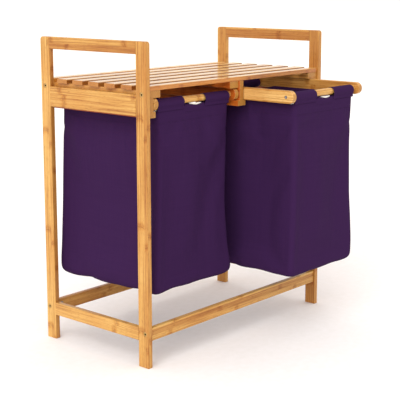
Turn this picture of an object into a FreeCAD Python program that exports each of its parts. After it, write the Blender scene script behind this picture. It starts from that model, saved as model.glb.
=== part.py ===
import FreeCAD, Part
import math
import os

# Free-standing bamboo laundry sorter: two side frames joined by a slatted shelf and two low
# rails, with two fabric bags that each hang from a pair of dowels on a carrier that slides
# out to the front.  Millimetres.  X is the width, -Y the front, Z up, and the origin is on
# the floor at the middle of the frame.  The right-hand carrier is stored pulled out.

# Overall frame
width = 640.0
depth = 335.0
height = 715.0
stock = 13.0            # thickness of the boards that make the side frames
post_depth = 30.0
edge_round = 1.6        # eased edges on every board
post_top_round = 7.0    # outer top corner of each post

# Side frames
handle_height = 27.5
side_board_bottom = 556.0
side_board_height = 46.0
low_rail_bottom = 59.0
low_rail_height = 30.0
low_rail_stock = 12.0
low_rail_setback = 4.0  # behind the outer faces of the posts

# Shelf
shelf_top = 620.5
slat_thick = 10.0
slat_count = 7
outer_slat_depth = 26.0     # the front and rear slats fit between the posts
outer_slat_setback = 3.5
inner_slat_depth = 33.0
slat_pitch = 51.5
slat_round = 2.4
inner_slat_half = 314.0     # half length of the slats that lie over the side boards
batten_wide = 36.0
batten_high = 16.0
centre_batten_wide = 31.0
batten_setback = 5.0
touch = 0.05                # the shelf fits between the side frames with this much play

# Divider and runners
web_thick = 14.0
foot_wide = 28.0
foot_high = 13.0
foot_bottom = 552.0
side_web_thick = 13.7
side_foot_wide = 21.0
runner_setback = 4.0        # front and rear ends of the runners, behind the post faces

# Carriers
groove_play = 1.5           # sideways, between an arm and its runner
slide_gap = 0.3             # above and below each arm
arm_length = 330.0
dowel_radius = 8.0
dowel_inset = 21.0          # from an arm's end to the dowel's axis
dowel_tenon = 6.0           # how far a dowel is let into each arm
right_pulled_out = 144.0    # stored position of the right-hand carrier

# Bags
sleeve_radius = 12.5
cloth = 1.2
sleeve_end_gap = 9.0        # bare dowel between an arm and the sleeve
hand_cut_width = 70.0
bag_bottom = 152.0
bag_side_top = 571.0
bag_hem = 562.0             # lower edge of the sleeve seam and of the hand hole
bag_flare = 12.0            # how much wider each side is at the bottom
bag_corner = 17.0           # bottom corner, seen from the front

# Fasteners
bolt_radius = 3.0
bolt_head_radius = 5.5
bolt_head_high = 3.5
bolt_sunk = 0.4             # the head's face lies this deep in its counterbore
bolt_socket = 4.0           # across the flats of the hexagon
bolt_length = 38.0
barrel_radius = 5.0
fit_gap = 0.1               # radial clearance of a fastener in its hole
pin_radius = 4.0
pin_length = 26.0
screw_radius = 1.8
screw_head_radius = 3.8
screw_cone = 2.0            # height of a countersunk head
pan_head_high = 0.9
pan_head_seat = 1.2         # from an arm's face down to the underside of the pan head
slat_screw_length = 20.0
slat_screw_top = 6.0        # how far a screw's point goes into the slat
nut_high = 12.0             # barrel nut in a batten
runner_screw_rows = [-120.0, 0.0, 120.0]
divider_screw_rows = [-95.0, 95.0]
board_screw_rows = [-60.0, 60.0]
screw_bite = 18.0           # length of a divider screw in the centre batten
bolt_clearance = 7.0        # slat screws beside a bolt stand this far off it
upper_bolt_z = 603.0
upper_bolt_y = 154.0
lower_bolt_z = 77.0
barrel_cover = 3.0          # wood left in front of a barrel nut in the low rails

half_width = width / 2
half_depth = depth / 2
inner_x = half_width - stock            # inner face of a side frame
post_inner_y = half_depth - post_depth
shelf_under = shelf_top - slat_thick
batten_bottom = shelf_under - batten_high
foot_top = foot_bottom + foot_high
arm_bottom = foot_top + slide_gap
arm_top = batten_bottom - slide_gap
arm_high = arm_top - arm_bottom
arm_mid = (arm_top + arm_bottom) / 2
arm_inner_x = web_thick / 2 + groove_play            # face that runs along the divider
arm_outer_x = inner_x - side_web_thick - groove_play  # face that runs along the side runner
carrier_mid_x = (arm_inner_x + arm_outer_x) / 2
dowel_y = arm_length / 2 - dowel_inset
bag_half_width = (arm_outer_x - arm_inner_x) / 2 - stock - sleeve_end_gap
sleeve_mid_z = arm_mid + dowel_radius + cloth + slide_gap - sleeve_radius
batten_half = half_depth - batten_setback
runner_half = half_depth - runner_setback
low_rail_y = half_depth - low_rail_setback - low_rail_stock / 2
low_rail_mid_z = low_rail_bottom + low_rail_height / 2

vec = FreeCAD.Vector
along_x = vec(1, 0, 0)
along_y = vec(0, 1, 0)
along_z = vec(0, 0, 1)


def save(name, shape):
    shape.exportStep("parts/" + name + ".step")


def block(x0, x1, y0, y1, z0, z1):
    return Part.makeBox(x1 - x0, y1 - y0, z1 - z0, vec(x0, y0, z0))


def rod(radius, start, direction, length):
    return Part.makeCylinder(radius, length, vec(*start), direction)


def eased(shape, radius=edge_round, keep=None):
    """Rounds the straight edges of a board; keep says which edges by their middle and direction."""
    edges = []
    for edge in shape.Edges:
        run = edge.tangentAt(edge.FirstParameter)
        mid = edge.CenterOfMass
        if keep is None or keep(mid, run):
            edges.append(edge)
    return shape.makeFillet(radius, edges)


def mirrored_x(shape):
    return shape.mirror(vec(0, 0, 0), along_x)


def mirrored_y(shape):
    return shape.mirror(vec(0, 0, 0), along_y)


# ---- Fasteners ----

def hexagon(across, start, direction, length):
    corner = across / 2 / math.cos(math.pi / 6)
    points = [vec(corner * math.cos(math.pi * i / 3), corner * math.sin(math.pi * i / 3), 0)
              for i in range(6)]
    face = Part.Face(Part.makePolygon(points + [points[0]]))
    prism = face.extrude(vec(0, 0, length))
    prism.Placement = FreeCAD.Placement(vec(*start), FreeCAD.Rotation(along_z, direction))
    return prism


def frame_bolt(x_face, y, z):
    """Socket bolt that enters a left-hand post at x_face and runs inwards along +X."""
    head_start = x_face + bolt_sunk
    head = rod(bolt_head_radius, (head_start, y, z), along_x, bolt_head_high)
    socket = hexagon(bolt_socket, (head_start - 0.01, y, z), along_x, bolt_head_high - 1)
    shank_start = head_start + bolt_head_high
    shank = rod(bolt_radius, (shank_start, y, z), along_x, bolt_length - bolt_head_high)
    return head.cut(socket).fuse(shank).removeSplitter()


def frame_bolt_hole(x_face, y, z):
    """Cutter for the same bolt: a counterbore and a clearance hole."""
    sink = rod(bolt_head_radius + fit_gap, (x_face - 1, y, z), along_x, bolt_head_high + 1.4)
    hole = rod(bolt_radius + fit_gap, (x_face - 1, y, z), along_x, bolt_length + 3)
    return sink.fuse(hole)


def barrel_nut(middle, direction, length, bolt_y, bolt_z):
    """Cross dowel nut along direction, bored along X for the bolt at bolt_y, bolt_z."""
    start = vec(*middle) - direction * (length / 2)
    nut = Part.makeCylinder(barrel_radius, length, start, direction)
    return nut.cut(rod(bolt_radius + fit_gap, (middle[0] - 20, bolt_y, bolt_z), along_x, 40))


def wood_screw(tip, direction, length):
    """Countersunk screw: tip is the point, direction runs from the tip to the head."""
    back = vec(*tip)
    shank_length = length - screw_cone
    shank = Part.makeCylinder(screw_radius, shank_length, back, direction)
    cone = Part.makeCone(screw_radius, screw_head_radius, screw_cone,
                         back + direction * shank_length, direction)
    return shank.fuse(cone).removeSplitter()


def wood_screw_hole(tip, direction, length):
    """Cutter for the same screw, a little longer at both ends."""
    back = vec(*tip)
    shank = Part.makeCylinder(screw_radius + fit_gap, length - screw_cone, back - direction * 0.5,
                              direction)
    cone = Part.makeCone(screw_radius + fit_gap, screw_head_radius + fit_gap + 0.5, 3,
                         back + direction * (length - 2.5), direction)
    return shank.fuse(cone)


# Where each hidden pin of the left-hand side frame stands: height of the pin.
pin_heights = [
    height - handle_height / 2,
    side_board_bottom + 12,
    side_board_bottom + side_board_height - 12,
    low_rail_mid_z,
]
barrel_x = -half_width + bolt_length - 6


def pin(z, front, gap=0.0):
    sign = -1 if front else 1
    start_y = sign * (post_inner_y + pin_length / 2 + gap)
    direction = vec(0, -sign, 0)
    x = -half_width + stock / 2
    return rod(pin_radius + gap, (x, start_y, z), direction, pin_length + 2 * gap)


def pin_cutters():
    return [pin(z, front, fit_gap) for z in pin_heights for front in (True, False)]


def bolt_places():
    places = []
    for side in (-1, 1):
        places.append((side * upper_bolt_y, upper_bolt_z))
        places.append((side * low_rail_y, lower_bolt_z))
    return places


def cut_all(shape, cutters):
    for cutter in cutters:
        shape = shape.cut(cutter)
    return shape


# ---- Side frames (made on the left, mirrored to the right) ----

def left_post(front):
    post = block(-half_width, -inner_x, -half_depth, -post_inner_y, 0, height)
    top_corner = [e for e in post.Edges
                  if e.CenterOfMass.z > height - 1 and e.CenterOfMass.y < -half_depth + 1]
    post = post.makeFillet(post_top_round, top_corner)
    upright = [e for e in post.Edges
               if abs(e.tangentAt(e.FirstParameter).z) > 0.99 and e.Length > height / 2]
    post = post.makeFillet(edge_round, upright)
    if not front:
        post = mirrored_y(post)
    cutters = pin_cutters()
    cutters += [frame_bolt_hole(-half_width, y, z) for y, z in bolt_places()]
    return cut_all(post, cutters)


def runs_along(direction):
    return lambda mid, run: abs(run.dot(direction)) > 0.99


def left_cross_board(z0, high):
    board = block(-half_width, -inner_x, -post_inner_y, post_inner_y, z0, z0 + high)
    board = eased(board, keep=runs_along(along_y))
    return cut_all(board, pin_cutters() + board_screws(wood_screw_hole))


def save_side_frames():
    pieces = {
        "front_{}_post": left_post(True),
        "rear_{}_post": left_post(False),
        "{}_handle_rail": left_cross_board(height - handle_height, handle_height),
        "{}_side_board": left_cross_board(side_board_bottom, side_board_height),
        "{}_low_side_rail": left_cross_board(low_rail_bottom, low_rail_height),
    }
    for name, shape in pieces.items():
        save(name.format("left"), shape)
        save(name.format("right"), mirrored_x(shape))


def save_low_rails():
    rail = block(-inner_x, inner_x, -low_rail_y - low_rail_stock / 2,
                 -low_rail_y + low_rail_stock / 2, low_rail_bottom, low_rail_bottom + low_rail_height)
    rail = eased(rail, keep=runs_along(along_x))
    bolt = frame_bolt_hole(-half_width, -low_rail_y, lower_bolt_z)
    nut_hole = rod(barrel_radius + fit_gap, (barrel_x, 0, lower_bolt_z), vec(0, -1, 0),
                   low_rail_y + low_rail_stock / 2 - barrel_cover)
    for cutter in (bolt, nut_hole):
        rail = rail.cut(cutter).cut(mirrored_x(cutter))
    save("front_low_rail", rail)
    save("rear_low_rail", mirrored_y(rail))


# ---- Shelf ----

def slat_centres():
    """Middle of each slat from front to rear; the outer two are narrower and set in."""
    outer = half_depth - outer_slat_setback - outer_slat_depth / 2
    inner = [(i - (slat_count - 1) / 2) * slat_pitch for i in range(1, slat_count - 1)]
    return [-outer] + inner + [outer]


def slat_screw_places():
    columns = [-inner_x + batten_wide / 2, -web_thick / 2 - centre_batten_wide / 2,
               inner_x - batten_wide / 2]
    return [(x, y) for x in columns for y in slat_centres()]


def clear_of_bolts(y):
    return y - math.copysign(bolt_clearance, y) if abs(y) > post_inner_y else y


def slat_screws(make):
    """Screws driven up through the battens into the slats."""
    return [make((x, clear_of_bolts(y), shelf_under + slat_screw_top), vec(0, 0, -1),
                 slat_screw_length)
            for x, y in slat_screw_places()]


def save_slats(screw_holes):
    for number, y in enumerate(slat_centres(), 1):
        outer = number in (1, slat_count)
        half_y = (outer_slat_depth if outer else inner_slat_depth) / 2
        half_x = inner_x - touch if outer else inner_slat_half
        slat = block(-half_x, half_x, y - half_y, y + half_y, shelf_under, shelf_top)
        slat = eased(slat, slat_round, lambda mid, run: abs(run.x) > 0.99 and mid.z > shelf_top - 1)
        slat = eased(slat, 0.8, lambda mid, run: abs(run.x) > 0.99 and mid.z < shelf_under + 1)
        save("shelf_slat_{}".format(number), cut_all(slat, screw_holes))


def batten(x0, x1):
    bar = block(x0, x1, -batten_half, batten_half, batten_bottom, shelf_under)
    return eased(bar, keep=lambda mid, run: abs(run.y) > 0.99 and mid.z < batten_bottom + 1)


def save_battens(screw_holes):
    left = batten(-inner_x + touch, -inner_x + batten_wide)
    for side in (-1, 1):
        left = left.cut(frame_bolt_hole(-half_width, side * upper_bolt_y, upper_bolt_z))
        left = left.cut(rod(barrel_radius + fit_gap,
                            (barrel_x, side * upper_bolt_y, batten_bottom - 1), along_z, 14.0))
    centre = batten(-web_thick / 2 - centre_batten_wide, -web_thick / 2)
    centre = cut_all(centre, divider_cross_screws(wood_screw_hole))
    save("left_shelf_batten", cut_all(left, screw_holes))
    save("right_shelf_batten", cut_all(mirrored_x(left), screw_holes))
    save("centre_shelf_batten", cut_all(centre, screw_holes))


# ---- Divider and runners ----

def divider_cross_screws(make):
    """Screws that hold the divider's web against the centre batten, driven from the right."""
    z = (batten_bottom + shelf_under) / 2
    return [make((-web_thick / 2 - screw_bite, y, z), along_x, screw_bite + web_thick)
            for y in divider_screw_rows]


def foot_screws(make, x):
    """Screws driven up through a foot into the web above it."""
    return [make((x, y, foot_top + 12), vec(0, 0, -1), 12 + foot_high) for y in runner_screw_rows]


def board_screws(make):
    """Screws from the left runner's web into the side board."""
    z = (foot_top + batten_bottom) / 2
    return [make((-half_width + 3, y, z), along_x, stock - 3 + side_web_thick)
            for y in board_screw_rows]


def save_divider():
    web = block(-web_thick / 2, web_thick / 2, -half_depth + 0.5, half_depth - 0.5,
                foot_top, shelf_under)
    web = eased(web, keep=lambda mid, run: abs(run.z) > 0.99)
    # The outer slats stand over the web's ends, so its top stays flat right to the front.
    web = cut_all(web, divider_cross_screws(wood_screw_hole) + foot_screws(wood_screw_hole, 0.0))
    foot = block(-foot_wide / 2, foot_wide / 2, -half_depth + 0.5, half_depth - 0.5,
                 foot_bottom, foot_top)
    foot = eased(foot, keep=lambda mid, run: abs(run.z) < 0.01 and mid.z < foot_bottom + 1)
    foot = cut_all(foot, foot_screws(wood_screw_hole, 0.0))
    save("divider_web", web)
    save("divider_foot", foot)


def save_runners():
    web_mid_x = -inner_x + side_web_thick / 2
    web = block(-inner_x, -inner_x + side_web_thick, -runner_half, runner_half,
                foot_top, batten_bottom)
    web = cut_all(web, foot_screws(wood_screw_hole, web_mid_x) + board_screws(wood_screw_hole))
    foot = block(-inner_x, -inner_x + side_foot_wide, -runner_half, runner_half,
                 foot_bottom, foot_top)
    foot = eased(foot, keep=lambda mid, run: mid.x > -inner_x + side_foot_wide - 1
                 and (abs(run.y) > 0.99 or abs(run.z) > 0.99))
    foot = cut_all(foot, foot_screws(wood_screw_hole, web_mid_x))
    save("left_runner_web", web)
    save("left_runner_foot", foot)
    save("right_runner_web", mirrored_x(web))
    save("right_runner_foot", mirrored_x(foot))


# ---- Hidden and visible fasteners, one node for each kind ----

def both_sides(shapes):
    return shapes + [mirrored_x(s) for s in shapes]


def save_fasteners():
    pins = [pin(z, front) for z in pin_heights for front in (True, False)]
    save("side_frame_pins", Part.makeCompound(both_sides(pins)))
    upper = [frame_bolt(-half_width, side * upper_bolt_y, upper_bolt_z) for side in (-1, 1)]
    lower = [frame_bolt(-half_width, side * low_rail_y, lower_bolt_z) for side in (-1, 1)]
    save("upper_frame_bolts", Part.makeCompound(both_sides(upper)))
    save("lower_frame_bolts", Part.makeCompound(both_sides(lower)))
    nut_mid_z = batten_bottom + 6.5
    upper_nuts = []
    lower_nuts = []
    for side in (-1, 1):
        y = side * upper_bolt_y
        upper_nuts.append(barrel_nut((barrel_x, y, nut_mid_z), along_z, nut_high, y, upper_bolt_z))
        y = side * low_rail_y
        nut_y = side * (low_rail_y - barrel_cover / 2)
        lower_nuts.append(barrel_nut((barrel_x, nut_y, lower_bolt_z), along_y,
                                     low_rail_stock - barrel_cover - 0.6, y, lower_bolt_z))
    save("upper_barrel_nuts", Part.makeCompound(both_sides(upper_nuts)))
    save("lower_barrel_nuts", Part.makeCompound(both_sides(lower_nuts)))
    save("slat_screws", Part.makeCompound(slat_screws(wood_screw)))
    web_mid_x = -inner_x + side_web_thick / 2
    runner_screws = both_sides(foot_screws(wood_screw, web_mid_x) + board_screws(wood_screw))
    runner_screws += foot_screws(wood_screw, 0.0) + divider_cross_screws(wood_screw)
    save("runner_screws", Part.makeCompound(runner_screws))


# ---- Carriers ----

def carrier_arm(x0, screw_face_low):
    """Arm with fully rounded ends, from x0 to x0 + stock, with its two dowel sockets."""
    round_end = arm_high / 2
    arm = block(x0, x0 + stock, -arm_length / 2 + round_end, arm_length / 2 - round_end,
                arm_bottom, arm_top)
    for side in (-1, 1):
        centre_y = side * (arm_length / 2 - round_end)
        arm = arm.fuse(rod(round_end, (x0, centre_y, arm_mid), along_x, stock))
    arm = arm.removeSplitter()
    rim = [e for e in arm.Edges
           if min(abs(e.CenterOfMass.x - x0), abs(e.CenterOfMass.x - x0 - stock)) < 0.01]
    arm = arm.makeFillet(edge_round - 0.4, rim)
    socket_x = x0 + stock - dowel_tenon if screw_face_low else x0 - 1
    for side in (-1, 1):
        arm = arm.cut(rod(dowel_radius + fit_gap, (socket_x, side * dowel_y, arm_mid),
                          along_x, dowel_tenon + 1))
        arm = arm.cut(carrier_screw_hole(x0, side * dowel_y, screw_face_low))
    return arm


def carrier_screw(x0, y, face_low):
    """Pan-head screw through an arm's outer face into the end of a dowel."""
    outward = -1 if face_low else 1
    face = x0 if face_low else x0 + stock
    direction = vec(outward, 0, 0)
    shank_length = stock + 16.0
    tip = (face - outward * shank_length, y, arm_mid)
    shank = rod(screw_radius, tip, direction, shank_length - pan_head_seat)
    head = rod(screw_head_radius, (face - outward * pan_head_seat, y, arm_mid), direction,
               pan_head_high)
    slot = block(face - 1, face + 1, y - 0.5, y + 0.5, arm_mid - 2.4, arm_mid + 2.4)
    recess = block(face - 1, face + 1, y - 2.4, y + 2.4, arm_mid - 0.5, arm_mid + 0.5)
    cross = slot.fuse(recess)
    cross.translate(vec(outward * 0.1, 0, 0))
    return shank.fuse(head).removeSplitter().cut(cross)


def carrier_screw_hole(x0, y, face_low):
    outward = -1 if face_low else 1
    face = x0 if face_low else x0 + stock
    direction = vec(outward, 0, 0)
    tip = (face - outward * (stock + 16.5), y, arm_mid)
    shank = rod(screw_radius + fit_gap, tip, direction, stock + 17)
    sink = rod(screw_head_radius + fit_gap, (face - outward * 1.3, y, arm_mid), direction, 3)
    return shank.fuse(sink)


def sleeve_piece(x0, x1, side):
    """Cloth loop round a dowel, with the two layers sewn together below it; side is -1 in front."""
    ring = rod(sleeve_radius, (x0, side * dowel_y, sleeve_mid_z), along_x, x1 - x0)
    seam_y = side * (dowel_y + sleeve_radius)
    seam = block(x0, x1, min(seam_y, seam_y - side * cloth), max(seam_y, seam_y - side * cloth),
                 bag_hem, sleeve_mid_z)
    inside = rod(sleeve_radius - cloth, (x0 - 1, side * dowel_y, sleeve_mid_z), along_x, x1 - x0 + 2)
    return ring.fuse(seam).cut(inside).removeSplitter()


def bag_outline(half_top, top_z):
    """Front or rear panel in XZ: straight sides that flare, and round bottom corners."""
    half_low = bag_half_width + bag_flare
    low_z = bag_bottom + bag_corner
    bend = bag_corner * math.sin(math.pi / 4)
    arc_mid_x = half_low - bag_corner + bend
    arc_mid_z = low_z - bend
    right = Part.Arc(vec(half_low, 0, low_z), vec(arc_mid_x, 0, arc_mid_z),
                     vec(half_low - bag_corner, 0, bag_bottom)).toShape()
    left = Part.Arc(vec(-half_low + bag_corner, 0, bag_bottom), vec(-arc_mid_x, 0, arc_mid_z),
                    vec(-half_low, 0, low_z)).toShape()
    edges = [
        Part.makeLine(vec(half_top, 0, top_z), vec(half_low, 0, low_z)),
        right,
        Part.makeLine(vec(half_low - bag_corner, 0, bag_bottom),
                      vec(-half_low + bag_corner, 0, bag_bottom)),
        left,
        Part.makeLine(vec(-half_low, 0, low_z), vec(-half_top, 0, top_z)),
        Part.makeLine(vec(-half_top, 0, top_z), vec(half_top, 0, top_z)),
    ]
    return Part.Face(Part.Wire(edges))


def bag_panels():
    """Five flat panels of the bag, centred on X = 0."""
    outer_y = dowel_y + sleeve_radius
    front = bag_outline(bag_half_width, bag_hem).extrude(vec(0, cloth, 0))
    front.translate(vec(0, -outer_y, 0))
    inner_y = outer_y - cloth - 0.05
    half_low = bag_half_width + bag_flare
    low_z = bag_bottom + bag_corner
    lean = bag_flare * (bag_side_top - low_z) / (bag_hem - low_z)
    side_points = [vec(half_low, 0, low_z), vec(half_low - lean, 0, bag_side_top),
                   vec(half_low - lean - cloth, 0, bag_side_top), vec(half_low - cloth, 0, low_z)]
    side = Part.Face(Part.makePolygon(side_points + [side_points[0]])).extrude(vec(0, 2 * inner_y, 0))
    side.translate(vec(0, -inner_y, 0))
    # The side panels pass between the sleeves, so their upper corners are taken off.
    for end in (-1, 1):
        clear = sleeve_radius + 1.0
        side = side.cut(block(0, half_width, *sorted((end * (dowel_y - clear), end * (inner_y + 5))),
                              bag_hem, height))
    bottom = block(-half_low + bag_corner, half_low - bag_corner, -inner_y, inner_y,
                   bag_bottom, bag_bottom + cloth)
    corner_mid = vec(half_low - bag_corner, -inner_y, low_z)
    corner = Part.makeCylinder(bag_corner, 2 * inner_y, corner_mid, along_y)
    corner = corner.cut(Part.makeCylinder(bag_corner - cloth, 2 * inner_y, corner_mid, along_y))
    corner = corner.common(block(half_low - bag_corner, half_low + 1, -inner_y, inner_y,
                                 bag_bottom - 1, low_z))
    bottom = bottom.fuse(corner).fuse(mirrored_x(corner)).removeSplitter()
    return {
        "front_panel": front,
        "rear_panel": mirrored_y(front),
        "inner_side": side,
        "outer_side": mirrored_x(side),
        "bottom": bottom,
    }


def save_carrier(side_name, mid_x, pulled):
    """One carrier and its bag, closed at pulled = 0."""
    reach = arm_outer_x - arm_inner_x
    low_x = -reach / 2
    high_x = reach / 2 - stock
    dowel_half = reach / 2 - stock + dowel_tenon - fit_gap
    pieces = {
        "left_arm": carrier_arm(low_x, True),
        "right_arm": carrier_arm(high_x, False),
    }
    for end, side in (("front", -1), ("rear", 1)):
        dowel = rod(dowel_radius, (-dowel_half, side * dowel_y, arm_mid), along_x, 2 * dowel_half)
        dowel = dowel.cut(carrier_screw_hole(low_x, side * dowel_y, True))
        dowel = dowel.cut(carrier_screw_hole(high_x, side * dowel_y, False))
        pieces[end + "_dowel"] = dowel
    screws = [carrier_screw(x, side * dowel_y, low) for x, low in ((low_x, True), (high_x, False))
              for side in (-1, 1)]
    pieces["screws"] = Part.makeCompound(screws)
    hand_half = hand_cut_width / 2
    for end, side in (("front", -1), ("rear", 1)):
        loops = [sleeve_piece(-bag_half_width, -hand_half, side),
                 sleeve_piece(hand_half, bag_half_width, side)]
        pieces["bag_{}_sleeves".format(end)] = Part.makeCompound(loops)
    for name, shape in bag_panels().items():
        pieces["bag_" + name] = shape
    # The side panel nearer the divider is the inner one, which differs between the two bags.
    for name, shape in pieces.items():
        if side_name == "left":
            moved = shape.copy()
        else:
            moved = mirrored_x(shape) if name.startswith("bag_") else shape.copy()
        moved.translate(vec(mid_x, -pulled, 0))
        save("{}_carrier_{}".format(side_name, name), moved)


os.makedirs("parts", exist_ok=True)
screw_holes = slat_screws(wood_screw_hole)
save_side_frames()
save_low_rails()
save_slats(screw_holes)
save_battens(screw_holes)
save_divider()
save_runners()
save_fasteners()
save_carrier("left", -carrier_mid_x, 0.0)
save_carrier("right", carrier_mid_x, right_pulled_out)
print("arm", round(arm_bottom, 2), round(arm_top, 2), "carrier middle", round(carrier_mid_x, 2),
      "bag half width", round(bag_half_width, 2), "sleeve middle", round(sleeve_mid_z, 2))
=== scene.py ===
import math

import bpy
from mathutils import Matrix, Quaternion, Vector, noise


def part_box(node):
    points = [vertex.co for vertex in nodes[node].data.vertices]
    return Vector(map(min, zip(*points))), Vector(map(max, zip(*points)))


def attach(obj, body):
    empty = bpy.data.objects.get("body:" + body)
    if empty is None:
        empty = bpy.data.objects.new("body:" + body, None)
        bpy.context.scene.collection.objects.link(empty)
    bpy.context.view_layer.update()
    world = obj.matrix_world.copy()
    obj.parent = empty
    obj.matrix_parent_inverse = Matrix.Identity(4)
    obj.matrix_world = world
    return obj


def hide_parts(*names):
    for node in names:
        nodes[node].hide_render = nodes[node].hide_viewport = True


noise.seed_set(1)    # without this the creases would differ from run to run

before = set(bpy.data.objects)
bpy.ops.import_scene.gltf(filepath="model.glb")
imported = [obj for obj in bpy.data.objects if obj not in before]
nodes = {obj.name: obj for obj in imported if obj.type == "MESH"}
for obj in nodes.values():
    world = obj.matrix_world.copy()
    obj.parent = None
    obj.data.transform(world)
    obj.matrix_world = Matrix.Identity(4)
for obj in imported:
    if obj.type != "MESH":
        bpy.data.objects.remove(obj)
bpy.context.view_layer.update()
print("frame loaded:", len(nodes), "parts")


def linearColour(hexCode):
    # sRGB hex to the linear colour that shaders use
    channels = [int(hexCode[i:i + 2], 16) / 255 for i in (1, 3, 5)]
    return [c / 12.92 if c <= 0.04045 else ((c + 0.055) / 1.055) ** 2.4 for c in channels] + [1.0]


def addNode(tree, kind, links=None, stops=(), **settings):
    # links maps an input to a value, a node (its first output) or a (node, output) pair, and
    # stops are the (position, hex colour) pairs of a colour ramp
    node = tree.nodes.new("ShaderNode" + kind)
    for name, value in settings.items():
        setattr(node, name, value)
    for socket, value in (links or {}).items():
        if isinstance(value, bpy.types.Node):
            tree.links.new(value.outputs[0], node.inputs[socket])
        elif isinstance(value, tuple) and isinstance(value[0], bpy.types.Node):
            tree.links.new(value[0].outputs[value[1]], node.inputs[socket])
        else:
            node.inputs[socket].default_value = value
    for i, (position, hexCode) in enumerate(stops):
        elements = node.color_ramp.elements
        element = elements[i] if i < len(elements) else elements.new(position)
        element.position = position
        element.color = linearColour(hexCode)
    return node


def newMaterial(name):
    material = bpy.data.materials.new(name)
    material.use_nodes = True
    material.node_tree.nodes.clear()
    return material, material.node_tree


bambooLook = {
    "natural": ("#d9b067", "#ca9b54", "#b57f3f"),      # light, middle and dark strips
    "pale": ("#e3bb78", "#d8ab65", "#c99751"),         # paler strips for the arms and side battens: a lighter tone, and painted light on their faces in shade
    "shelf": ("#f1d391", "#e9c783", "#dcb56e"),        # the palest strips, for the shelf: painted highlight that brightens the slats' lit tops
    "endGrain": "#a3702f",
    "stripWide": 0.022,      # one laminated strip, metres
    "stripThick": 0.013,
    "nodeSpacing": 0.235,    # between the culm's nodes along a strip
    "nodeBand": 0.022,       # length of the mark that a node leaves
    "nodeArch": 0.014,       # how far a mark bows across its strip
    "nodeRagged": 0.010,
    "nodeStrength": 1.05,
    "streakFine": (420.0, 8.0, 3.0),     # noise per metre across and along the fibres, and detail
    "fleckFine": (1300.0, 70.0, 1.0),
    "roughness": 0.42,
    "facing": 0.7,           # how squarely a face must look along an axis to get painted shade
}


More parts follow.
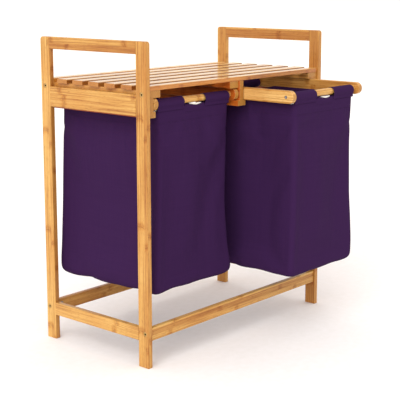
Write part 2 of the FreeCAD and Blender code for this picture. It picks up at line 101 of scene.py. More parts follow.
def bambooMaterial(name, axis, gloss, strips="natural", paintedShade=()):
    # Laminated bamboo, planed, then sprayed with clear gloss lacquer: gold strips with long
    # fibres, brown marks where the culm's nodes were, and a clear reflection on top. The faces
    # listed last get painted shade, deeper in colour: (normal's axis, sign, colour).
    look = bambooLook
    material, tree = newMaterial(name)
    multiply = {"data_type": "RGBA", "blend_type": "MULTIPLY"}
    place = addNode(tree, "TexCoord")
    axes = addNode(tree, "SeparateXYZ", {0: (place, "Object")})
    wide, thin, along = [(axes, letter) for letter in {"X": "YZX", "Y": "ZXY", "Z": "YXZ"}[axis]]
    info = addNode(tree, "ObjectInfo")
    board = addNode(tree, "Math", {0: (info, "Random"), 1: 31.7}, operation="MULTIPLY")

    # each strip has its own tone and its own place for its node marks
    wideTurn = addNode(tree, "Math", {0: wide, 1: 1 / look["stripWide"], 2: board},
                       operation="MULTIPLY_ADD")
    thinTurn = addNode(tree, "Math", {0: thin, 1: 1 / look["stripThick"], 2: 0.5},
                       operation="MULTIPLY_ADD")
    stripKey = addNode(tree, "CombineXYZ", {
        0: addNode(tree, "Math", {0: wideTurn}, operation="FLOOR"),
        1: addNode(tree, "Math", {0: thinTurn}, operation="FLOOR"),
        2: board})
    strip = addNode(tree, "TexWhiteNoise", {"Vector": stripKey}, noise_dimensions="3D")
    stripTone = addNode(tree, "ValToRGB", {"Fac": (strip, "Value")},
                        list(zip((0.0, 0.5, 1.0), look[strips])))

    # fibre streaks about 2 mm wide and 120 mm long, and flecks of 0.8 by 15 mm: both are drawn
    # coarser than the real 0.3 mm fibres
    grains = []
    for across, length, detail in (look["streakFine"], look["fleckFine"]):
        spot = addNode(tree, "CombineXYZ", {
            0: addNode(tree, "Math", {0: wide, 1: across}, operation="MULTIPLY"),
            1: addNode(tree, "Math", {0: thin, 1: across}, operation="MULTIPLY"),
            2: addNode(tree, "Math", {0: along, 1: length, 2: board}, operation="MULTIPLY_ADD")})
        grains.append(addNode(tree, "TexNoise", {"Vector": spot, "Scale": 1.0, "Detail": detail}))
    streak, fleck = grains
    streakTone = addNode(tree, "ValToRGB", {"Fac": streak}, [
        (0.3, "#a8743c"), (0.5, "#f1e4cf"), (0.64, "#ffffff")])
    fleckTone = addNode(tree, "ValToRGB", {"Fac": fleck}, [(0.3, "#a87440"), (0.42, "#ffffff")])
    colour = addNode(tree, "Mix", {0: 0.66, 6: stripTone, 7: streakTone}, **multiply)
    colour = addNode(tree, "Mix", {0: 0.5, 6: (colour, 2), 7: fleckTone}, **multiply)

    # slow drift of tone along each board
    drift = addNode(tree, "TexNoise", {
        "Vector": (place, "Object"), "W": board, "Scale": 9.0, "Detail": 3.0},
                    noise_dimensions="4D")
    driftTone = addNode(tree, "ValToRGB", {"Fac": drift}, [(0.3, "#dcae6c"), (0.65, "#ffffff")])
    colour = addNode(tree, "Mix", {0: 0.4, 6: (colour, 2), 7: driftTone}, **multiply)

    # node marks: a thin dark line between soft brown bands, arched across the strip and ragged
    ragged = addNode(tree, "TexNoise", {"Vector": (place, "Object"), "Scale": 170.0, "Detail": 3.0})
    inStrip = addNode(tree, "Math", {0: wideTurn}, operation="FRACT")
    offCentre = addNode(tree, "Math", {0: inStrip, 1: 0.5}, operation="SUBTRACT")
    bow = addNode(tree, "Math", {0: offCentre, 1: offCentre}, operation="MULTIPLY")
    shifted = addNode(tree, "Math", {0: bow, 1: look["nodeArch"], 2: along},
                      operation="MULTIPLY_ADD")
    shifted = addNode(tree, "Math", {0: ragged, 1: look["nodeRagged"], 2: shifted},
                      operation="MULTIPLY_ADD")
    shifted = addNode(tree, "Math", {0: (strip, "Value"), 1: look["nodeSpacing"] / 2, 2: shifted},
                      operation="MULTIPLY_ADD")
    shifted = addNode(tree, "Math", {0: board, 1: 0.37, 2: shifted}, operation="MULTIPLY_ADD")
    turns = addNode(tree, "Math", {0: shifted, 1: look["nodeSpacing"]}, operation="DIVIDE")
    turn = addNode(tree, "Math", {0: turns}, operation="FRACT")
    inMark = addNode(tree, "Math", {0: turn, 1: look["nodeSpacing"] / look["nodeBand"]},
                     operation="MULTIPLY")
    markTone = addNode(tree, "ValToRGB", {"Fac": inMark}, [
        (0.0, "#ffffff"), (0.22, "#e6c88f"), (0.36, "#d0a566"), (0.44, "#8f5f2c"),
        (0.52, "#e3c48c"), (0.64, "#b98546"), (0.8, "#ecd3a2"), (1.0, "#ffffff")])
    strength = addNode(tree, "Math", {0: ragged, 1: look["nodeStrength"]}, operation="MULTIPLY")
    colour = addNode(tree, "Mix", {0: strength, 6: (colour, 2), 7: markTone}, **multiply)

    # the ends of the boards show the dots of the cut fibre bundles
    facing = addNode(tree, "SeparateXYZ", {0: (place, "Normal")})
    endwise = addNode(tree, "Math", {0: (facing, axis)}, operation="ABSOLUTE")
    onEnd = addNode(tree, "Math", {0: endwise, 1: 0.85}, operation="GREATER_THAN")
    endShare = addNode(tree, "Math", {0: onEnd, 1: 0.7}, operation="MULTIPLY")
    dots = addNode(tree, "TexVoronoi", {"Vector": (place, "Object"), "Scale": 700.0})
    dotTone = addNode(tree, "ValToRGB", {"Fac": dots}, [(0.12, "#7d4d22"), (0.4, look["endGrain"])])
    colour = addNode(tree, "Mix", {0: endShare, 6: (colour, 2), 7: dotTone}, data_type="RGBA")
    # painted shade: each listed face is multiplied by its deeper colour, for the shade under and
    # between parts (on the slats' ends, a slightly deeper tone)
    for normalAxis, sign, tone in paintedShade:
        towards = addNode(tree, "Math", {0: (facing, normalAxis), 1: sign}, operation="MULTIPLY")
        shadeMask = addNode(tree, "Math", {0: towards, 1: look["facing"]}, operation="GREATER_THAN")
        colour = addNode(tree, "Mix", {0: shadeMask, 6: (colour, 2), 7: linearColour(tone)},
                         **multiply)

    relief = addNode(tree, "Bump", {"Height": fleck, "Strength": 0.12, "Distance": 0.0004})
    rough = addNode(tree, "MapRange", {
        "Value": streak, "To Min": look["roughness"] - 0.05, "To Max": look["roughness"] + 0.08})
    shader = addNode(tree, "BsdfPrincipled", {
        "Base Color": (colour, 2), "Roughness": rough, "IOR": 1.5, "Specular IOR Level": 0.15,
        "Normal": relief, "Coat Weight": gloss, "Coat Roughness": 0.1, "Coat IOR": 1.5})
    addNode(tree, "OutputMaterial", {"Surface": shader})
    return material


metalLook = {
    "brass": ("#a5824c", "#c4a064", "#dcc088"),
    "socket": "#3d2e1c",     # painted shade inside the bolts' sockets
    "socketFrom": 0.3190,    # the sockets lie nearer to the middle of the frame than this
    "bright": ("#d2d5d5", "#e9eae8", "#f4f4f2"),
    "dull": ("#8d8f8e", "#a2a3a1", "#b4b5b2"),
}


def platedMaterial(name, tones, clouds, roughLow, roughHigh, sockets=False):
    # Electroplated steel, barrel finished: brass gives a soft yellow metal and zinc a light grey
    # one, both with a faint cloudy bloom. clouds is the number of its blotches in a metre.
    material, tree = newMaterial(name)
    place = addNode(tree, "TexCoord")
    bloom = addNode(tree, "TexNoise", {"Vector": (place, "Object"), "Scale": clouds, "Detail": 4.0})
    tone = addNode(tree, "ValToRGB", {"Fac": bloom}, list(zip((0.3, 0.55, 0.75), tones)))
    # painted shade: the sockets' insides are drawn dark, where shade falls in them
    if sockets:
        axes = addNode(tree, "SeparateXYZ", {0: (place, "Object")})
        outward = addNode(tree, "Math", {0: (axes, "X")}, operation="ABSOLUTE")
        inSocketShade = addNode(tree, "Math", {0: outward, 1: metalLook["socketFrom"]},
                       operation="LESS_THAN")
        tone = (addNode(tree, "Mix", {0: inSocketShade, 6: tone, 7: linearColour(metalLook["socket"])},
                        data_type="RGBA"), 2)
    relief = addNode(tree, "Bump", {"Height": bloom, "Strength": 0.08, "Distance": 0.0002})
    rough = addNode(tree, "MapRange", {"Value": bloom, "To Min": roughLow, "To Max": roughHigh})
    shader = addNode(tree, "BsdfPrincipled", {
        "Base Color": tone, "Metallic": 1.0, "Roughness": rough, "Normal": relief})
    addNode(tree, "OutputMaterial", {"Surface": shader})
    return material


clothLook = {
    "purple": ("#2f183e", "#341c42", "#3a2247"),    # shaded, middle and bright threads
    "lining": ("#e9e7e0", "#f2f0ea", "#fbfaf6"),
    "sewing": ("#2c1738", "#372042", "#432b50"),
    "bloom": "#6d5280",      # colour of the soft nap at grazing angles
    "threadPitch": 0.0022,   # drawn four times as coarse as the real 0.55 mm threads
    "sewingPitch": 0.0008,
    "dyeStripes": 260.0,     # uneven threads in a metre
    "dyeDrift": 5.0,         # how often a thread's dye changes along a metre
    "dyeDepth": (0.24, 0.18),
}


def wovenMaterial(name, tones, roughness, sheen, pitch):
    # Plain-weave polyester, dyed and heat set: matt, with a faint over-and-under relief, slightly
    # uneven threads and a soft bloom at grazing angles.
    material, tree = newMaterial(name)
    place = addNode(tree, "UVMap")
    axes = addNode(tree, "SeparateXYZ", {0: place})
    waves = []
    for axis in ("X", "Y"):
        phase = addNode(tree, "Math", {0: (axes, axis), 1: math.pi / pitch}, operation="MULTIPLY")
        swing = addNode(tree, "Math", {0: phase}, operation="SINE")
        waves.append(addNode(tree, "Math", {0: swing}, operation="ABSOLUTE"))
    checker = addNode(tree, "TexChecker", {"Vector": place, "Scale": 1.0 / pitch})
    weave = addNode(tree, "Mix", {0: (checker, "Fac"), 2: waves[0], 3: waves[1]}, data_type="FLOAT")

    # each warp and weft thread has its own strength of dye
    dyes = []
    stripes, drift = clothLook["dyeStripes"], clothLook["dyeDrift"]
    for stretch in ((stripes, drift, 1.0), (drift, stripes, 1.0)):
        spot = addNode(tree, "Mapping", {"Vector": place, "Scale": stretch})
        dyes.append(addNode(tree, "TexNoise", {"Vector": spot, "Scale": 1.0, "Detail": 2.0}))
    dye = addNode(tree, "Math", {0: dyes[0], 1: dyes[1]}, operation="ADD")
    depth, base = clothLook["dyeDepth"]
    dye = addNode(tree, "Math", {0: dye, 1: depth, 2: base}, operation="MULTIPLY_ADD")
    # uneven dye, plus painted shade of the weave: threads lighter on their crowns and darker where
    # they dip
    dyeAndWeaveShade = addNode(tree, "Math", {0: (weave, 0), 1: 0.07, 2: dye}, operation="MULTIPLY_ADD")
    tone = addNode(tree, "ValToRGB", {"Fac": dyeAndWeaveShade}, list(zip((0.25, 0.5, 0.8), tones)))
    relief = addNode(tree, "Bump", {"Height": (weave, 0), "Strength": 0.06, "Distance": 0.0003})
    shader = addNode(tree, "BsdfPrincipled", {
        "Base Color": tone, "Roughness": roughness, "IOR": 1.46, "Specular IOR Level": 0.06,
        "Normal": relief, "Sheen Weight": sheen, "Sheen Roughness": 0.45,
        "Sheen Tint": linearColour(clothLook["bloom"])})
    addNode(tree, "OutputMaterial", {"Surface": shader})
    return material


# painted shade on chosen faces, deeper in colour: (normal's axis, sign, colour)
# painted shade under the slats; their ends get a slightly deeper tone
slatUnderShadeAndEnds = [("Z", -1.0, "#f0a878"), ("X", -1.0, "#f2d6a2"), ("X", 1.0, "#f2d6a2")]
# painted shade on the outer slats' front and rear faces
frontEdgeShade = [("Y", -1.0, "#d3a66a"), ("Y", 1.0, "#d3a66a")] + slatUnderShadeAndEnds
# painted shade on the slats' edges inside the gaps between them
gapEdgeShade = [("Y", -1.0, "#a88258"), ("Y", 1.0, "#a88258")] + slatUnderShadeAndEnds
# painted shade: redder, deeper sides and undersides for the parts under the shelf, where shade
# falls and light has bounced off wood
underShelfShade = [("X", -1.0, "#f0ab7c"), ("X", 1.0, "#f0ab7c"), ("Z", -1.0, "#f0ab7c")]
purple, white, sewing = clothLook["purple"], clothLook["lining"], clothLook["sewing"]
pitch, sewingPitch = clothLook["threadPitch"], clothLook["sewingPitch"]
materials = {
    "bambooX": bambooMaterial("lacquered bamboo, grain across", "X", 0.25),
    "bambooY": bambooMaterial("lacquered bamboo, grain front to rear", "Y", 0.3),
    "bambooZ": bambooMaterial("lacquered bamboo, grain upright", "Z", 0.3),
    "bambooPaleToneAndLight": bambooMaterial("pale lacquered bamboo with painted light, arms and battens", "Y", 0.3, "pale"),
    # slats: palest strips as painted highlight on their tops, painted shade on their edges and
    # undersides
    "bambooSlatLitAndShaded": bambooMaterial("shelf slat, polished, with painted light and shade", "X", 0.72, "shelf", gapEdgeShade),
    "bambooOuterSlatLitAndShaded": bambooMaterial("outer shelf slat, polished, with painted light and shade", "X", 0.72, "shelf", frontEdgeShade),
    # rails, divider and inner arm under the shelf: painted shade on their sides and undersides
    "bambooUnderShelfShade": bambooMaterial("bamboo with painted shade, rails under the shelf", "Y", 0.3, "natural",
                                  underShelfShade),
    "bolt": platedMaterial("brass-plated steel", metalLook["brass"], 900.0, 0.28, 0.45, True),
    "screw": platedMaterial("bright zinc-plated steel", metalLook["bright"], 500.0, 0.2, 0.32),
    "hiddenSteel": platedMaterial("dull zinc-plated steel", metalLook["dull"], 500.0, 0.25, 0.4),
    "cloth": wovenMaterial("woven purple polyester", purple, 0.9, 0.04, pitch),
    "lining": wovenMaterial("white coated lining", white, 0.6, 0.0, pitch),
    "stitch": wovenMaterial("purple sewing thread", sewing, 0.8, 0.05, sewingPitch),
}


innerWords = ("centre_shelf_batten", "divider", "runner")


def chosenMaterial(name):
    # the grain runs along each board's length
    if name.endswith("frame_bolts"):
        return materials["bolt"]
    if name.endswith("carrier_screws"):
        return materials["screw"]
    if name.endswith(("screws", "nuts")):
        return materials["hiddenSteel"]
    if name.endswith("_post"):
        return materials["bambooZ"]
    if name in ("shelf_slat_1", "shelf_slat_7"):
        return materials["bambooOuterSlatLitAndShaded"]
    if name.startswith("shelf_slat"):
        return materials["bambooSlatLitAndShaded"]
    if name.endswith(("front_low_rail", "rear_low_rail", "_dowel")):
        return materials["bambooX"]
    # parts under the shelf take painted shade
    if name == "left_carrier_right_arm" or any(word in name for word in innerWords):
        return materials["bambooUnderShelfShade"]
    # arms and side battens take the paler strips: painted light that lifts faces lying in shade,
    # the battens' under the slats' overhang
    if name.endswith(("_arm", "_batten")):
        return materials["bambooPaleToneAndLight"]
    return materials["bambooY"]


for name, node in nodes.items():
    if "bag_" in name:
        continue
    if not node.data.materials:
        node.data.materials.append(chosenMaterial(name))
    for i in range(len(node.data.materials)):
        node.data.materials[i] = chosenMaterial(name)
print("wood and metal dressed")


bagSize = {
    "hem": 0.562,            # top edge of the front and rear panels, where the loops begin
    "sideTop": 0.571,        # top edge of the side panels, between the loops
    "bottom": 0.153,
    "halfWide": 0.120,       # roughly: each corner has its own line below
    "halfDepth": 0.1555,     # outside of the front and rear panels
    "depthAtTop": 0.1523,    # the panels hang from under the loops' front
    "topBand": 0.06,         # below the hem: depth, corners and creases build up over this height
    "sagBand": 0.09,         # below the hem: the sides' sag dies out over this height
    "cornerRound": 0.012,    # upright corners, seen from above
    "leastRound": 0.004,
    "bottomRound": 0.016,
    "bottomBand": 0.05,      # above the bottom: its waves die out over this height
    "bottomWave": 0.0028,    # how uneven the bottom edge is
    "crease": 0.0032,        # depth of the soft upright creases
    "clothThick": 0.0012,
    "handHole": 0.070,       # gap between the two loops
    "cell": 0.0085,          # size of a mesh cell
}

# half width of a bag at each of its four corners, as (height, metres) from the top down, and how
# far the top edges of its two sides sag: 1 is the right side and 3 the left
leftBagShape = {
    "sag": {1: 0.021, 3: 0.010},
    "frontLeft": [(0.562, 0.1194), (0.45, 0.1215), (0.33, 0.1235),
                  (0.225, 0.129), (0.175, 0.133), (0.153, 0.131)],
    "frontRight": [(0.562, 0.1192), (0.45, 0.1140), (0.33, 0.1110),
                   (0.225, 0.121), (0.175, 0.135), (0.153, 0.134)],
    "rearRight": [(0.562, 0.1190), (0.45, 0.1190), (0.33, 0.1210),
                  (0.225, 0.127), (0.175, 0.131), (0.153, 0.129)],
    "rearLeft": [(0.562, 0.1195), (0.51, 0.1212), (0.44, 0.124), (0.33, 0.127),
                 (0.225, 0.133), (0.178, 0.138), (0.153, 0.135)],
}
rightBagShape = {
    "sag": {1: 0.001, 3: 0.001},
    "frontLeft": [(0.562, 0.1192), (0.45, 0.1178), (0.33, 0.1180),
                  (0.225, 0.122), (0.175, 0.126), (0.153, 0.125)],
    "frontRight": [(0.562, 0.1192), (0.45, 0.1128), (0.33, 0.1150),
                   (0.277, 0.122), (0.202, 0.129), (0.153, 0.124)],
    "rearRight": [(0.562, 0.1190), (0.45, 0.1190), (0.33, 0.1210),
                  (0.225, 0.127), (0.175, 0.131), (0.153, 0.129)],
    "rearLeft": [(0.562, 0.1190), (0.45, 0.1200), (0.33, 0.1225),
                 (0.225, 0.127), (0.175, 0.131), (0.153, 0.129)],
}


def straightRead(table, z):
    # value of a (height, value) table at z, in straight lines between its rows
    if z >= table[0][0]:
        return table[0][1]
    for (highZ, highValue), (lowZ, lowValue) in zip(table, table[1:]):
        if z >= lowZ:
            t = (highZ - z) / (highZ - lowZ)
            return highValue + (lowValue - highValue) * t
    return table[-1][1]


def softRead(table, z):
    # the same, rounded off over 40 mm so that the wall has no kinks
    offsets = (-0.02, -0.01, 0.0, 0.01, 0.02)
    return sum(straightRead(table, z + d) for d in offsets) / len(offsets)


def sectionPoint(corners, rounding, side, t):
    # point on a rounded four-cornered ring; side 0 is the front, then right, rear and left
    start, end = corners[side], corners[(side + 1) % 4]
    before, after = corners[(side - 1) % 4], corners[(side + 2) % 4]
    run = (end - start).normalized()
    runBefore = (start - before).normalized()
    runAfter = (after - end).normalized()
    outward = Vector((run.y, -run.x))
    outBefore = Vector((runBefore.y, -runBefore.x))
    outAfter = Vector((runAfter.y, -runAfter.x))
    arc = rounding * math.pi / 4
    straight = (end - start).length - 2 * rounding
    travel = t * (straight + 2 * arc)
    if travel < arc:
        angle = math.pi / 4 - travel / rounding
        centre = start + run * rounding - runBefore * rounding
        return centre + (outward * math.cos(angle) + outBefore * math.sin(angle)) * rounding
    if travel > arc + straight:
        angle = (travel - arc - straight) / rounding
        centre = end - run * rounding + runAfter * rounding
        return centre + (outward * math.cos(angle) + outAfter * math.sin(angle)) * rounding
    return start + run * (rounding + travel - arc)


def bagCorners(shape, z, inset=0.0):
    # the bag's four corners at height z, before rounding
    full, top, hem = bagSize["halfDepth"], bagSize["depthAtTop"], bagSize["hem"]
    depths = [(hem, top), (hem - bagSize["topBand"], full), (bagSize["bottom"], full)]
    depth = softRead(depths, z) - inset
    return [
        Vector((-softRead(shape["frontLeft"], z) + inset, -depth)),
        Vector((softRead(shape["frontRight"], z) - inset, -depth)),
        Vector((softRead(shape["rearRight"], z) - inset, depth)),
        Vector((-softRead(shape["rearLeft"], z) + inset, depth)),
    ]


handEdge = {
    "atLoops": 0.001,        # rise of the panel's edge above the hem, behind the loops
    "rise": 0.0082,          # and under the bare dowel
    "dip": 0.0040,
    "dipAt": 0.008,          # the dip lies this far to the right of the middle
    "dipWide": 0.015,
}


def handHem(x):
    # how far the panel's edge stands above the hem under the bare dowel: it dips off centre
    if abs(x) > bagSize["handHole"] / 2:
        return handEdge["atLoops"]
    across = (x - handEdge["dipAt"]) / handEdge["dipWide"]
    return handEdge["rise"] - handEdge["dip"] * math.exp(-across ** 2)


def wallRows():
    # (height, inset) of each ring of the wall: straight down, then round the bottom edge
    top, low, rounding = bagSize["hem"], bagSize["bottom"], bagSize["bottomRound"]
    count = round((top - low - rounding) / bagSize["cell"])
    rows = [(top + (low + rounding - top) * i / count, 0.0) for i in range(count + 1)]
    for i in range(1, 4):
        angle = math.pi / 2 * i / 3
        height = low + rounding - rounding * math.sin(angle)
        rows.append((height, rounding * (1 - math.cos(angle))))
    return rows


def edgeLift(shape, side, r, z, x, i, count):
    # how far a point of ring r stands above its ring: the side panels rise to their own hem
    # between the loops, and sag in the middle
    lift = 0.0
    if side in (1, 3) and r < 3:
        inFromCorner = min(i, count - i) / count * 2
        rise = bagSize["sideTop"] - bagSize["hem"]
        lift = rise * min(1.0, max(0.0, inFromCorner * 4 - 0.75))
        lift *= 1 - r / 3
    elif r == 0:
        lift = handHem(x)
    if side in (1, 3):
        fade = max(0.0, 1 - (bagSize["hem"] - z) / bagSize["sagBand"])
        lift -= shape["sag"][side] * math.sin(math.pi * i / count) * fade
    return lift


flatCut = {"wide": 0.24, "deep": 0.31, "pitch": 0.32, "bottomAt": -0.6}    # panels as laid out flat


def bagWall(shape, counts):
    points, cuts, rings = [], [], []
    rows = wallRows()
    length = 0.0
    for r, (z, inset) in enumerate(rows):
        if r:
            lastZ, lastInset = rows[r - 1]
            length += math.hypot(z - lastZ, inset - lastInset)
        corners = bagCorners(shape, z, inset)
        nearTop = max(0.0, 1 - (bagSize["hem"] - z) / bagSize["topBand"])
        rounding = bagSize["cornerRound"] * (1 - 0.6 * nearTop) - inset * 0.4
        rounding = max(rounding, bagSize["leastRound"])
        ring = []
        for side in range(4):
            panelWide = flatCut["wide"] if side % 2 == 0 else flatCut["deep"]
            for i in range(counts[side]):
                flat = sectionPoint(corners, rounding, side, i / counts[side])
                ring.append(len(points))
                lift = edgeLift(shape, side, r, z, flat.x, i, counts[side])
                points.append(Vector((flat.x, flat.y, z + lift)))
                cuts.append((side * flatCut["pitch"] + i / counts[side] * panelWide, -length))
        rings.append(ring)
    faces = []
    for upper, lower in zip(rings, rings[1:]):
        n = len(upper)
        for i in range(n):
            j = (i + 1) % n
            faces.append((upper[i], lower[i], lower[j], upper[j]))
    return points, faces, cuts, rings


def addBottom(points, faces, cuts, rim, across, deep):
    # a grid whose rim is the wall's last ring
    grid = {}
    for i in range(across + 1):
        grid[i, 0] = rim[i]
        grid[i, deep] = rim[(across + deep + (across - i)) % len(rim)]
    for j in range(deep + 1):
        grid[0, j] = rim[(len(rim) - j) % len(rim)]
        grid[across, j] = rim[across + j]
    cornerKeys = ((0, 0), (across, 0), (across, deep), (0, deep))
    corner = [points[grid[key]] for key in cornerKeys]
    for i in range(1, across):
        for j in range(1, deep):
            u, v = i / across, j / deep
            front, rear = points[grid[i, 0]], points[grid[i, deep]]
            left, right = points[grid[0, j]], points[grid[across, j]]
            blended = front * (1 - v) + rear * v + left * (1 - u) + right * u
            blended -= ((corner[0] * (1 - u) + corner[1] * u) * (1 - v)
                        + (corner[3] * (1 - u) + corner[2] * u) * v)
            grid[i, j] = len(points)
            points.append(blended)
            cuts.append((u * flatCut["wide"], flatCut["bottomAt"] - v * flatCut["deep"]))
    for i in range(across):
        for j in range(deep):
            faces.append((grid[i, j], grid[i, j + 1], grid[i + 1, j + 1], grid[i + 1, j]))


def creased(p, seed):
    # soft upright creases and a slightly wavy bottom, so that the folds don't start from flat
    # panels
    share = min(1.0, max(0.0, (bagSize["hem"] - p.z) / bagSize["topBand"]))
    nearBottom = max(0.0, 1 - (p.z - bagSize["bottom"]) / bagSize["bottomBand"])
    wave = noise.noise_vector(Vector((p.x * 13 + seed, p.y * 13, p.z * 3)))
    wave = wave * bagSize["crease"] * share
    ripple = noise.noise(Vector((p.x * 16 + seed, p.y * 16, seed)))
    ripple = ripple * bagSize["bottomWave"] * nearBottom
    return p + Vector((wave.x, wave.y, wave.z * 0.5 + ripple))


def restShape(shape, seed):
    # the bag before it hangs: positions, faces and cut coordinates (metres on the flat cloth)
    across = round(2 * bagSize["halfWide"] / bagSize["cell"])
    deep = round(2 * bagSize["halfDepth"] / bagSize["cell"])
    counts = [across, deep, across, deep]
    points, faces, cuts, rings = bagWall(shape, counts)
    addBottom(points, faces, cuts, rings[-1], across, deep)
    return [creased(p, seed) for p in points], faces, cuts, counts, rings


def meshObject(name, points, faces, cuts=None):
    mesh = bpy.data.meshes.new(name)
    mesh.from_pydata([tuple(p) for p in points], [], faces)
    mesh.update()
    if cuts:
        layer = mesh.uv_layers.new(name="cut")
        for loop in mesh.loops:
            layer.data[loop.index].uv = cuts[loop.vertex_index]
    for polygon in mesh.polygons:
        polygon.use_smooth = True
    obj = bpy.data.objects.new(name, mesh)
    bpy.context.scene.collection.objects.link(obj)
    return obj


def thicken(piece, thickness, offset=-1.0):
    solid = piece.modifiers.new("cloth thickness", "SOLIDIFY")
    solid.thickness = thickness
    solid.offset = offset
    return solid


def soften(piece):
    fine = piece.modifiers.new("soft", "SUBSURF")
    fine.levels = 1
    fine.render_levels = 1


hangSettings = {
    "frames": 26,
    "weight": 0.35,         # kg per square metre
    "heavier": 40,          # the cloth is this much heavier than real, so that it settles quickly
    "stretch": 25,          # stiffness against pulling and pushing
    "shear": 12,
    "bend": 1.2,
    "slack": -0.008,        # the cloth is this much larger than the shape that it hangs in
    "sewnHold": (1.0, 1.0, 0.7, 0.3),    # of the rings from the stitching down
    "sideShare": 0.5,       # of that hold, between the loops
    "cornerHold": 0.35,     # how firmly the sewn corners keep their line
    "bottomHold": 0.7,      # of that hold, along the bottom edge
    "wallHold": 0.04,
    "mostMove": 0.006,      # no point ends further than this from where it was sewn
}


def holdAlongSeams(bag, counts, rings):
    hold = bag.vertex_groups.new(name="hold")
    across, deep = counts[0], counts[1]
    cornerAt = [0, across, across + deep, 2 * across + deep]
    total = 2 * (across + deep)
    sewn, corner = hangSettings["sewnHold"], hangSettings["cornerHold"]
    for vertex in bag.data.vertices:
        hold.add([vertex.index], hangSettings["wallHold"], "REPLACE")
    for r, ring in enumerate(rings):
        for i, index in enumerate(ring):
            onPanel = (i <= across) or (across + deep <= i <= 2 * across + deep)
            near = min(min(abs(i - c), total - abs(i - c)) for c in cornerAt)
            weight = corner if near <= 1 else hangSettings["wallHold"]
            if r >= len(rings) - 4:
                weight = max(weight, corner * hangSettings["bottomHold"])
            if r < len(sewn):
                weight = max(weight, sewn[r] * (1.0 if onPanel else hangSettings["sideShare"]))
            hold.add([index], weight, "REPLACE")


def hang(bag, counts, rings):
    # lets the cloth settle under its own weight from the sleeves' stitching
    holdAlongSeams(bag, counts, rings)
    rest = [v.co.copy() for v in bag.data.vertices]
    cloth = bag.modifiers.new("hang", "CLOTH")
    cloth.settings.quality = 6
    cloth.settings.mass = (hangSettings["weight"] * bagSize["cell"] ** 2
                           * hangSettings["heavier"])
    cloth.settings.tension_stiffness = hangSettings["stretch"]
    cloth.settings.compression_stiffness = hangSettings["stretch"]
    cloth.settings.shear_stiffness = hangSettings["shear"]
    cloth.settings.bending_stiffness = hangSettings["bend"]
    cloth.settings.vertex_group_mass = "hold"
    cloth.settings.pin_stiffness = 1.0
    cloth.settings.shrink_min = hangSettings["slack"]
    cloth.settings.effector_weights.gravity = 1.0
    cloth.collision_settings.use_collision = False
    cloth.point_cache.frame_start = 1
    cloth.point_cache.frame_end = hangSettings["frames"]
    for step in range(1, hangSettings["frames"] + 1):
        bpy.context.scene.frame_set(step)
    graph = bpy.context.evaluated_depsgraph_get()
    settled = [v.co.copy() for v in bag.evaluated_get(graph).data.vertices]
    bag.modifiers.clear()
    bpy.context.scene.frame_set(1)
    moved = 0.0
    for vertex, was, now in zip(bag.data.vertices, rest, settled):
        step = now - was
        if step.length > hangSettings["mostMove"]:
            step *= hangSettings["mostMove"] / step.length
        moved = max(moved, step.length)
        vertex.co = was + step
    bag.data.update()
    print("  cloth settled, largest move", round(moved * 1000, 1), "mm")


def strip(profile, xs, pucker, seed):
    # sheet swept along X: profile is a list of (y, z) and xs the places along X
    points, faces, cuts = [], [], []
    length = [0.0]
    for (y0, z0), (y1, z1) in zip(profile, profile[1:]):
        length.append(length[-1] + math.hypot(y1 - y0, z1 - z0))
    for x in xs:
        for b, (y, z) in enumerate(profile):
            bump = abs(noise.noise(Vector((x * 70 + seed, b * 0.35, seed)))) * pucker
            points.append(Vector((x, y + math.copysign(bump, y) * 0.6, z + bump)))
            cuts.append((x, length[b]))
    n = len(profile)
    for a in range(len(xs) - 1):
        for b in range(n - 1):
            faces.append((a * n + b, (a + 1) * n + b, (a + 1) * n + b + 1, a * n + b + 1))
    return points, faces, cuts


def joined(name, strips):
    points, faces, cuts = [], [], []
    for morePoints, moreFaces, moreCuts in strips:
        base = len(points)
        points += morePoints
        faces += [tuple(base + i for i in face) for face in moreFaces]
        cuts += moreCuts
    return meshObject(name, points, faces, cuts)


def spread(low, high, step):
    count = max(1, round((high - low) / step))
    return [low + (high - low) * i / count for i in range(count + 1)]


loopSize = {
    "radius": 0.0125,        # outside of the cloth round the dowel
    "dowel": (0.144, 0.57675),    # the dowel's centre: forward of the bag's middle, and height
    "reach": 0.1197,         # outer ends of the loops, from the bag's middle
    "step": 0.004,
    "pucker": 0.0009,
}


def loopProfile(side):
    # cross-section of a loop round its dowel: from the stitching, bulging over the dowel and back
    radius = loopSize["radius"] - bagSize["clothThick"] / 2
    hem, panel = bagSize["hem"], bagSize["depthAtTop"]
    dowelY, dowelZ = loopSize["dowel"]
    profile = [(panel + 0.0009, hem - 0.0016), (panel + 0.0009, hem + 0.0016),
               (panel + 0.0002, hem + 0.0046)]
    for i in range(23):
        angle = math.radians(-30 + i * 15.0)
        profile.append((dowelY + radius * math.cos(angle), dowelZ + radius * math.sin(angle)))
    profile += [(panel - 0.0019, hem + 0.0016), (panel - 0.0021, hem - 0.0016)]
    return [(side * y, z) for y, z in profile]


def makeLoops(side, body, seed):
    # two loops of cloth round each dowel, with the hand hole between them
    hole, reach, step = bagSize["handHole"] / 2, loopSize["reach"], loopSize["step"]
    made = []
    for end, sign in (("front", -1), ("rear", 1)):
        profile = loopProfile(sign)
        sweeps = [
            strip(profile, spread(-reach, -hole, step), loopSize["pucker"], seed + sign),
            strip(profile, spread(hole, reach, step), loopSize["pucker"], seed + sign + 5)]
        loops = joined("{}_bag_{}_loops".format(side, end), sweeps)
        loops.data.materials.append(materials["cloth"])
        thicken(loops, bagSize["clothThick"], 0.0)
        soften(loops)
        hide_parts("{}_bag_{}_sleeves".format(body, end))
        made.append(loops)
    return made


turnedHem = {"inward": 0.0022, "topInward": 0.0010, "topUp": 0.0004, "thick": 0.0008}


